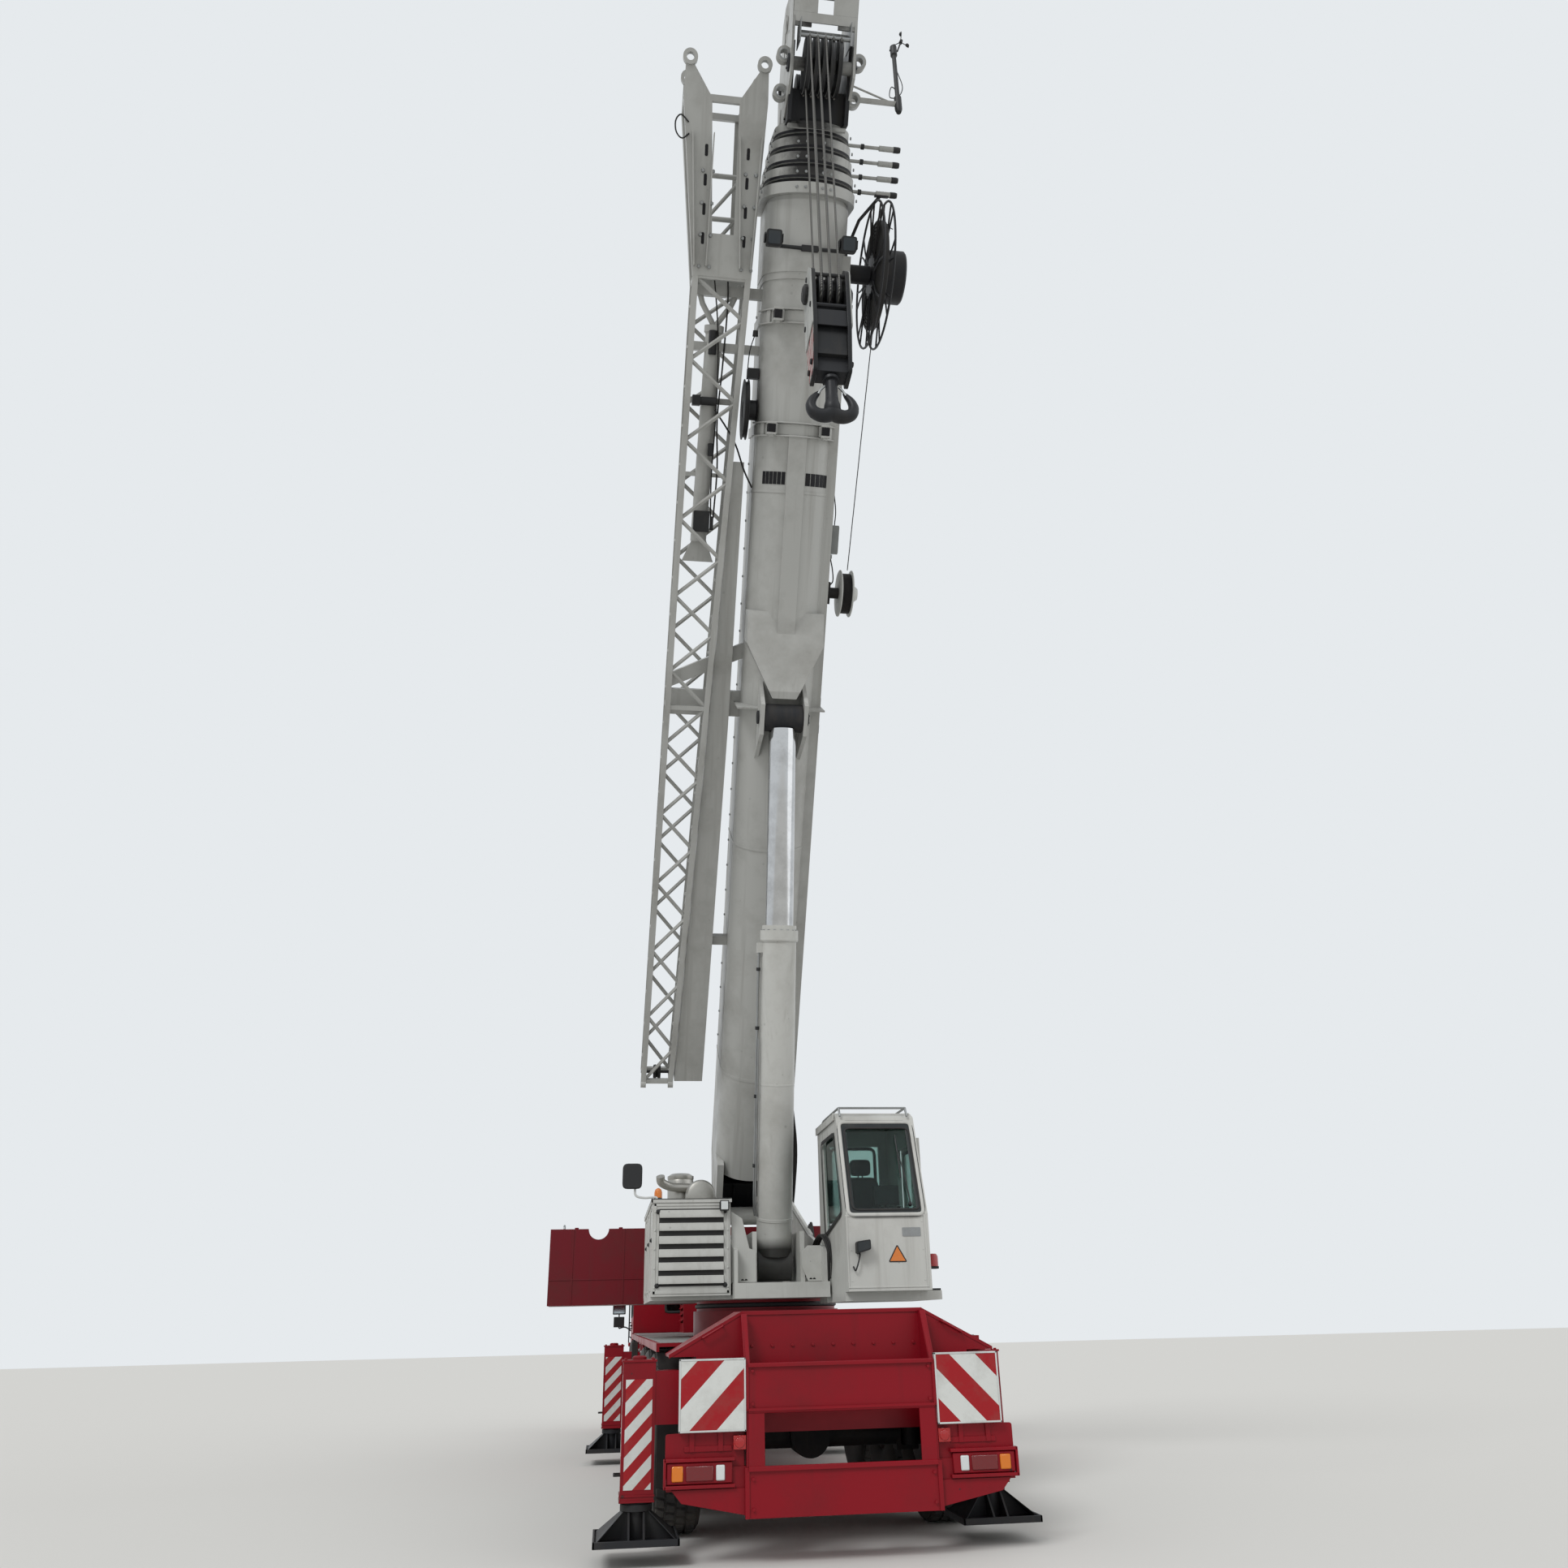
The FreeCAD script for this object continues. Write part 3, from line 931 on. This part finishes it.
def head_pieces(front):
    """Side plates, sheaves and jib lugs at the tip of the last section."""
    plates = [prism(f"head_plate_{side}", "x", [
        (f"-({front}) + 150", "boom_rise - 330"), (f"-({front}) + 150", "boom_rise + 280"),
        ("-head_axis_s + 100", "boom_rise + 420"), ("-head_axis_s - nose_length + 120", "boom_rise + 300"),
        ("-head_axis_s - nose_length", "boom_rise + 120"), ("-head_axis_s - nose_length", "-head_axis_drop + 150"),
        ("-head_axis_s - nose_length + 120", "-head_axis_drop - 60"),
        ("-head_axis_s + 150", "-head_axis_drop - 180")],
        f"{sign} * (head_width / 2 - 15) - 15", f"{sign} * (head_width / 2 - 15) + 15")
        for side, sign in (("left", "-1"), ("right", "1"))]
    pieces = list(plates)
    for i, (station, rise, radius) in enumerate((("head_axis_s", "-head_axis_drop", "head_sheave"),
                                                 ("head_axis_s - 60", "boom_rise + 180", "head_sheave - 90"))):
        pieces.append(rod(f"head_axle_{i}", "x", (f"-({station})", rise), "70", "-head_width / 2", "head_width / 2"))
        for j in range(5):
            x = f"-200 + {j} * 90"
            pieces.append(rod(f"head_sheave_{i}_{j}", "x", (f"-({station})", rise), radius, x, f"{x} + 44"))
    pieces.append(box("head_web", "-head_width / 2", "head_width / 2", f"-({front}) + 120", f"-({front}) + 160",
                      "boom_rise - 330", "boom_rise + 280"))
    for side, sign in (("left", "-1"), ("right", "1")):
        pieces.append(side_box(f"head_nose_{side}", sign, "150", "head_width / 2", "-head_axis_s - nose_length + 60",
                               "-head_axis_s - head_sheave - 60", "-head_axis_drop - 90", "-head_axis_drop - 60"))
    pieces.append(box("head_nose_end", "-head_width / 2", "head_width / 2", "-head_axis_s - nose_length + 20",
                      "-head_axis_s - nose_length + 90", "-head_axis_drop + 60", "-head_axis_drop + 160"))
    lug_bores = []
    for side, sign in (("left", "-1"), ("right", "1")):
        for i, (station, rise) in enumerate((("head_axis_s - 240", "-60"), ("head_axis_s + 90", "-260"))):
            lug_bores.append(ring(f"jib_lug_{side}_{i}", "z", (f"{sign} * (head_width / 2 + 60)", f"-({station})"),
                                  "lug_radius", "lug_bore", f"{rise} - lug_half_height", f"{rise} + lug_half_height"))
    return pieces + lug_bores


def ram():
    """The luffing ram: a barrel whose foot stands in the fork, and a rod pinned to the boom."""
    top_y = "foot_y - ram_pin_s * cos(boom_angle) - ram_pin_drop * sin(boom_angle)"
    top_z = "foot_z + ram_pin_s * sin(boom_angle) - ram_pin_drop * cos(boom_angle)"
    run = f"(ram_foot_y - ({top_y}))"
    rise = f"(({top_z}) - ram_foot_z)"
    length = f"sqrt({run} * {run} + {rise} * {rise})"

    def on_ram(thing):
        thing.Placement = FreeCAD.Placement(V(), FreeCAD.Rotation(V(1, 0, 0), 10))
        bind(thing, Placement__Rotation__Angle=f"atan({run} / {rise})")
        NODES.append(put(thing, "0", "slew_y + ram_foot_y", "ram_foot_z"))

    tube = rod("barrel_tube", "z", ("0", "0"), "barrel_radius", "120", "barrel_length")
    bore = rod("barrel_bore", "z", ("0", "0"), "ram_rod_radius + run_gap", "260", "barrel_length + 10")
    eye = rod("barrel_foot", "x", ("0", "0"), "barrel_radius - 20", "-200", "200")
    gland = rod("barrel_gland", "z", ("0", "0"), "barrel_radius + 22", "barrel_length - 180", "barrel_length - 60")
    port = box("barrel_port", "-barrel_radius - 60", "-barrel_radius + 30", "-60", "60", "barrel_length - 330",
               "barrel_length - 210")
    feed = rod("barrel_pipe", "z", ("-barrel_radius - 30", "0"), "18", "700", "barrel_length - 220")
    clip = box("barrel_clip", "-barrel_radius - 40", "-barrel_radius + 20", "-30", "30", "700", "760")
    made = cut("barrel_cut", fuse("barrel_solid", [tube, eye, gland, port, feed, clip]), [bore])
    made.Label = "luffing_barrel"
    on_ram(made)
    bar = rod("ram_rod_bar", "z", ("0", "0"), "ram_rod_radius", f"{length} - ram_rod_length", f"{length} - 150")
    head = rod("ram_rod_eye", "x", ("0", length), "ram_pin_radius + 80", "-235", "235")
    hole = rod("ram_rod_hole", "x", ("0", length), "ram_pin_radius + run_gap", "-300", "300")
    made = cut("rod_cut", fuse("rod_solid", [bar, head]), [hole])
    made.Label = "luffing_rod"
    on_ram(made)


def strut(start, end, half):
    """A square bar between two points."""
    path = end - start
    bar = Part.makeBox(2 * half, 2 * half, path.Length, V(-half, -half, 0))
    bar.Placement = FreeCAD.Placement(start, FreeCAD.Rotation(V(0, 0, 1), path))
    return bar


def jib():
    """The stowed fly jib at the boom's left: a tapering lattice, its forked head and a box section beside it."""
    read = sheet.get
    foot_s, neck_s, tip_s = read("jib_foot_s"), read("jib_neck_s"), read("jib_tip_s")
    chord, bays, rise = read("jib_chord"), int(read("jib_bays")), read("boom_rise")
    outer = (read("jib_foot_outer"), read("jib_neck_outer"), read("jib_tip_outer"))
    inner = (read("jib_foot_inner"), read("jib_neck_inner"), read("jib_tip_inner"))
    depth = (read("jib_foot_depth"), read("jib_neck_depth"))

    def between(pair, share):
        return pair[0] + (pair[1] - pair[0]) * share

    def corner(share, across, up):
        edge = between(inner, share) + chord if across else between(outer, share) - chord
        return V(-edge, -between((foot_s, neck_s), share), rise + (up - 0.5) * (between(depth, share) - 2 * chord))

    def tip(across, up):
        edge = inner[2] + chord if across else outer[2] - chord
        return V(-edge, -tip_s, rise + (up - 0.5) * (depth[1] - 2 * chord))

    sides_of = (0, 1)
    bars = [strut(corner(0, a, u), corner(1, a, u), chord) for a in sides_of for u in sides_of]
    bars += [strut(corner(1, a, u), tip(a, u), chord) for a in sides_of for u in sides_of]
    faces = [((0, 0), (1, 0)), ((0, 1), (1, 1)), ((0, 0), (0, 1)), ((1, 0), (1, 1))]
    for (a0, u0), (a1, u1) in faces:
        for bay in range(bays):
            near, far = bay / bays, (bay + 1) / bays
            if (bay + u0) % 2:
                near, far = far, near
            bars.append(strut(corner(near, a0, u0), corner(far, a1, u1), chord * 0.5))
        for share in (0, 0.5, 1):
            bars.append(strut(corner(share, a0, u0), corner(share, a1, u1), chord * 0.8))
        bars.append(strut(tip(a0, u0), tip(a1, u1), chord))
    thing = doc.addObject("Part::Feature", "jib_lattice_bars")
    thing.Shape = bars[0].multiFuse(bars[1:])
    plates = []
    for i, level in enumerate(("boom_rise - jib_neck_depth / 2", "boom_rise + jib_neck_depth / 2 - 20")):
        plates.append(prism(f"jib_fork_outer_{i}", "z", [
            ("-jib_neck_outer", "-jib_neck_s"), ("-jib_tip_outer", "-jib_tip_s"),
            ("-jib_tip_outer + 10", "-jib_tip_s - 330"), ("-jib_tip_outer + 110", "-jib_tip_s - 330"),
            ("-jib_tip_outer + 330", "-jib_tip_s"), ("-jib_neck_outer + 230", "-jib_neck_s")],
            level, f"{level} + 20"))
        plates.append(prism(f"jib_fork_inner_{i}", "z", [
            ("-jib_neck_inner", "-jib_neck_s"), ("-jib_tip_inner", "-jib_tip_s"),
            ("-jib_tip_inner - 10", "-jib_tip_s - 330"), ("-jib_tip_inner - 110", "-jib_tip_s - 330"),
            ("-jib_tip_inner - 330", "-jib_tip_s"), ("-jib_neck_inner - 230", "-jib_neck_s")],
            level, f"{level} + 20"))
        plates.append(box(f"jib_neck_plate_{i}", "-jib_neck_outer", "-jib_neck_inner", "-jib_neck_s - 480",
                          "-jib_neck_s", level, f"{level} + 20"))
        for j, x in enumerate(("-jib_tip_outer + 60", "-jib_tip_inner - 60")):
            plates.append(ring(f"jib_eye_{i}_{j}", "z", (x, "-jib_tip_s - 400"), "lug_radius", "lug_bore",
                               f"{level} - 30", f"{level} + 50"))
    for j, x in enumerate(("-jib_foot_outer + jib_chord", "-jib_foot_inner - jib_chord")):
        plates.append(ring(f"jib_foot_eye_{j}", "x", ("-jib_foot_s + 40", "boom_rise - jib_foot_depth / 2 + jib_chord"),
                           "55", "25", f"{x} - jib_chord", f"{x} + jib_chord"))
    lean = "(jib_foot_inner - jib_neck_inner) / (jib_neck_s - jib_foot_s)"
    top_x = f"-(jib_foot_inner - {lean} * (jib_box_top - jib_foot_s)) + jib_box_gap"
    taper = prism("jib_box_section", "z", [
        ("-jib_foot_inner + jib_box_gap", "-jib_foot_s"), ("-jib_foot_inner + 400", "-jib_foot_s"),
        ("-boom_width / 2 - 150", "-7000"), (f"{top_x} + 130", "-jib_box_top"), (top_x, "-jib_box_top")],
        "boom_rise - 190", "boom_rise + 190")
    arms = []
    for i, (station, half, reach) in enumerate((("4000", "60", "jib_foot_inner - 60"), ("7250", "165", "1440"),
                                                ("11650", "50", "jib_neck_outer - 20"),
                                                ("12300", "60", "jib_neck_outer - 20"))):
        arms.append(box(f"jib_arm_{i}", f"-({reach})", "-boom_width / 2 - rest_gap", f"-{station} - {half}",
                        f"-{station} + {half}", "boom_rise - 60", "boom_rise + 60"))
    brace = prism("jib_brace", "z", [
        ("-1440", "-7420"), ("-1440", "-7600"), ("-boom_width / 2 - rest_gap", "-8050"),
        ("-boom_width / 2 - rest_gap", "-7850")], "boom_rise - 50", "boom_rise + 50")
    made = fuse("jib_whole", [thing, taper, brace] + arms + plates)
    made.Label = "stowed_jib"
    NODES.append(on_boom(made))


def boom_fittings():
    """Cable reels, work lamps and boxes carried on the boom's base section."""
    wall = "boom_width / 2 + rest_gap"
    near = f"{wall} + tray_width + reel_stand"
    hub = ("-reel_station", "boom_rise")
    reel = [rod("reel_core", "x", hub, "260", f"{near} + 20", f"{near} + 150"),
            rod("reel_disc_in", "x", hub, "reel_radius", f"{near} + 20", f"{near} + 35"),
            rod("reel_disc_out", "x", hub, "reel_radius", f"{near} + 135", f"{near} + 150"),
            rod("reel_motor", "x", hub, "310", f"{near} + 149", f"{near} + 420"),
            rod("reel_axle", "x", hub, "60", f"{wall} + reel_axle_start", f"{near} + 30")]
    made = fuse("large_reel", reel)
    made.Label = "cable_reel"
    NODES.append(on_boom(made))
    seat = ring("reel_seat", "x", hub, "110", "60 + run_gap", wall, f"{near} + 10")
    motor = box("reel_box", wall, f"{wall} + 160", "-9600", "-9250", "boom_rise - 200", "boom_rise - 20")
    small = fuse("small_reel", [
        rod("small_core", "x", ("-8750", "boom_rise - 30"), "150", f"{wall} + 249", f"{wall} + 390"),
        rod("small_stem", "x", ("-8750", "boom_rise - 30"), "70", wall, f"{wall} + 490"),
        rod("small_disc", "x", ("-8750", "boom_rise - 30"), "300", f"{wall} + 240", f"{wall} + 255"),
        rod("small_disc_out", "x", ("-8750", "boom_rise - 30"), "300", f"{wall} + 385", f"{wall} + 400")])
    left = fuse("left_reel", [
        rod("left_core", "x", ("-10930", "boom_rise - 150"), "120", "-boom_width / 2 - 130", "-boom_width / 2 - rest_gap"),
        rod("left_disc", "x", ("-10930", "boom_rise - 150"), "360", "-boom_width / 2 - 180", "-boom_width / 2 - 120")])
    bar = box("lamp_bar", "-520", "520", "-12780", "-12730", "boom_rise - boom_depth / 2 - 50",
              "boom_rise - boom_depth / 2 - rest_gap")
    lamps = [box(f"boom_lamp_{i}", f"{x} - 80", f"{x} + 80", "-12860", "-12779", "boom_rise - boom_depth / 2 - 180",
                 "boom_rise - boom_depth / 2 - 10") for i, x in enumerate(("-440", "440"))]
    made = fuse("lamp_set", [bar] + lamps)
    fittings = doc.addObject("Part::Compound", "boom_fittings_set")
    fittings.Links = [seat, motor, small, left, made]
    fittings.Label = "boom_fittings"
    NODES.append(on_boom(fittings))


def hook():
    """Rope falls, the hook block and the double hook, which hang plumb under the boom's head."""
    axis_y = "(foot_y - head_axis_s * cos(boom_angle) - head_axis_drop * sin(boom_angle))"
    axis_z = "(foot_z + head_axis_s * sin(boom_angle) - head_axis_drop * cos(boom_angle))"
    lead = f"({axis_y} - head_sheave - rope_radius - rest_gap)"
    sheave = "(block_half_depth - 30)"
    middle = f"({lead} + {sheave} + rope_radius + rest_gap)"
    top = f"({axis_z} - block_drop)"
    pieces = []
    for j in range(3):
        x = f"(fall_x + ({j} - 1) * fall_pitch)"
        axle_z = f"({top} - block_half_depth - 40)"
        pieces.append(rod(f"lead_rope_{j}", "z", (x, lead), "rope_radius", axle_z, axis_z))
        pieces.append(rod(f"back_rope_{j}", "z", (x, f"({middle} + {sheave} + rope_radius)"), "rope_radius", axle_z,
                          f"({axis_z} - head_sheave - 15)"))
        pieces.append(rod(f"block_sheave_{j}", "x", (middle, axle_z), f"{sheave} + rope_radius",
                          f"{x} - 28", f"{x} + 28"))
    pieces.append(rod("block_axle", "x", (middle, f"({top} - block_half_depth - 40)"), "55",
                      "fall_x - block_half_width", "fall_x + block_half_width"))
    for side, sign in (("left", "-1"), ("right", "1")):
        pieces.append(prism(f"block_cheek_{side}", "x", [
            (f"{middle} - block_half_depth", f"{top} - 120"), (f"{middle} - 110", top), (f"{middle} + 110", top),
            (f"{middle} + block_half_depth", f"{top} - 120"),
            (f"{middle} + block_half_depth", f"{top} - block_height * 0.62"),
            (f"{middle} + 130", f"{top} - block_height"), (f"{middle} - 130", f"{top} - block_height"),
            (f"{middle} - block_half_depth", f"{top} - block_height * 0.62")],
            f"fall_x + {sign} * (block_half_width - 20) - 20", f"fall_x + {sign} * (block_half_width - 20) + 20"))
    pieces.append(box("block_crosshead", "fall_x - block_half_width", "fall_x + block_half_width", f"{middle} - 90", f"{middle} + 90",
                      f"{top} - block_height + 20", f"{top} - block_height + 200"))
    solid = fuse("block_solid", pieces)
    bore = rod("hook_bore", "z", ("fall_x", middle), "hook_bar + run_gap", f"{top} - block_height", f"{top} - block_height + 260")
    node("hook_block", [cut("block_cut", solid, [bore])])
    low = f"({axis_z} - hook_drop)"
    shank = rod("hook_shank", "z", ("fall_x", middle), "hook_bar", low, f"{top} - block_height + 200")
    boss = rod("hook_boss", "z", ("fall_x", middle), "hook_bar + 18", f"{low} - 45", f"{low} + 60")
    nut = rod("hook_nut", "z", ("fall_x", middle), "hook_bar + 40", f"{top} - block_height + 200 + rest_gap",
              f"{top} - block_height + 260")
    horns = []
    for side, sign in (("left", "-1"), ("right", "1")):
        horn = doc.addObject("Part::Torus", f"hook_horn_{side}")
        bind(horn, Radius1="hook_throat", Radius2="hook_bar")
        horn.Angle3 = 180
        flip = FreeCAD.Rotation(V(0, 1, 0), 180)
        horn.Placement = FreeCAD.Placement(V(), flip * FreeCAD.Rotation(V(1, 0, 0), 90))
        put(horn, f"fall_x + {sign} * (hook_throat + 12)", middle, low)
        tip = doc.addObject("Part::Cone", f"hook_tip_{side}")
        bind(tip, Radius1="hook_bar", Radius2="hook_bar / 3", Height="hook_bar * 2.4")
        put(tip, f"fall_x + {sign} * (2 * hook_throat + 12)", middle, low)
        horns += [horn, tip]
    node("double_hook", [shank, boss, nut] + horns, whole=True)


carrier_frame()
deck_and_lockers()
running_gear()
outriggers()
carrier_cab()
carrier_engine()
rear_rack()
turntable()
housing()
ballast()
crane_cab()
boom()
ram()
jib()
boom_fittings()
hook()
doc.recompute()

for thing in doc.Objects:
    if "Invalid" in thing.State or "Error" in thing.State:
        raise RuntimeError(f"{thing.Label} failed: {thing.State}")
for thing in NODES:
    if thing.Shape.isNull() or not thing.Shape.isValid() or not thing.Shape.Solids:
        raise RuntimeError(f"{thing.Label} has no valid solid")
for thing in NODES:
    thing.Shape.exportStep(f"parts/{thing.Label}.step")
whole = Part.makeCompound([thing.Shape for thing in NODES]).BoundBox
print(len(NODES), "nodes", [round(v) for v in (whole.XMin, whole.XMax, whole.YMin, whole.YMax, whole.ZMin, whole.ZMax)])
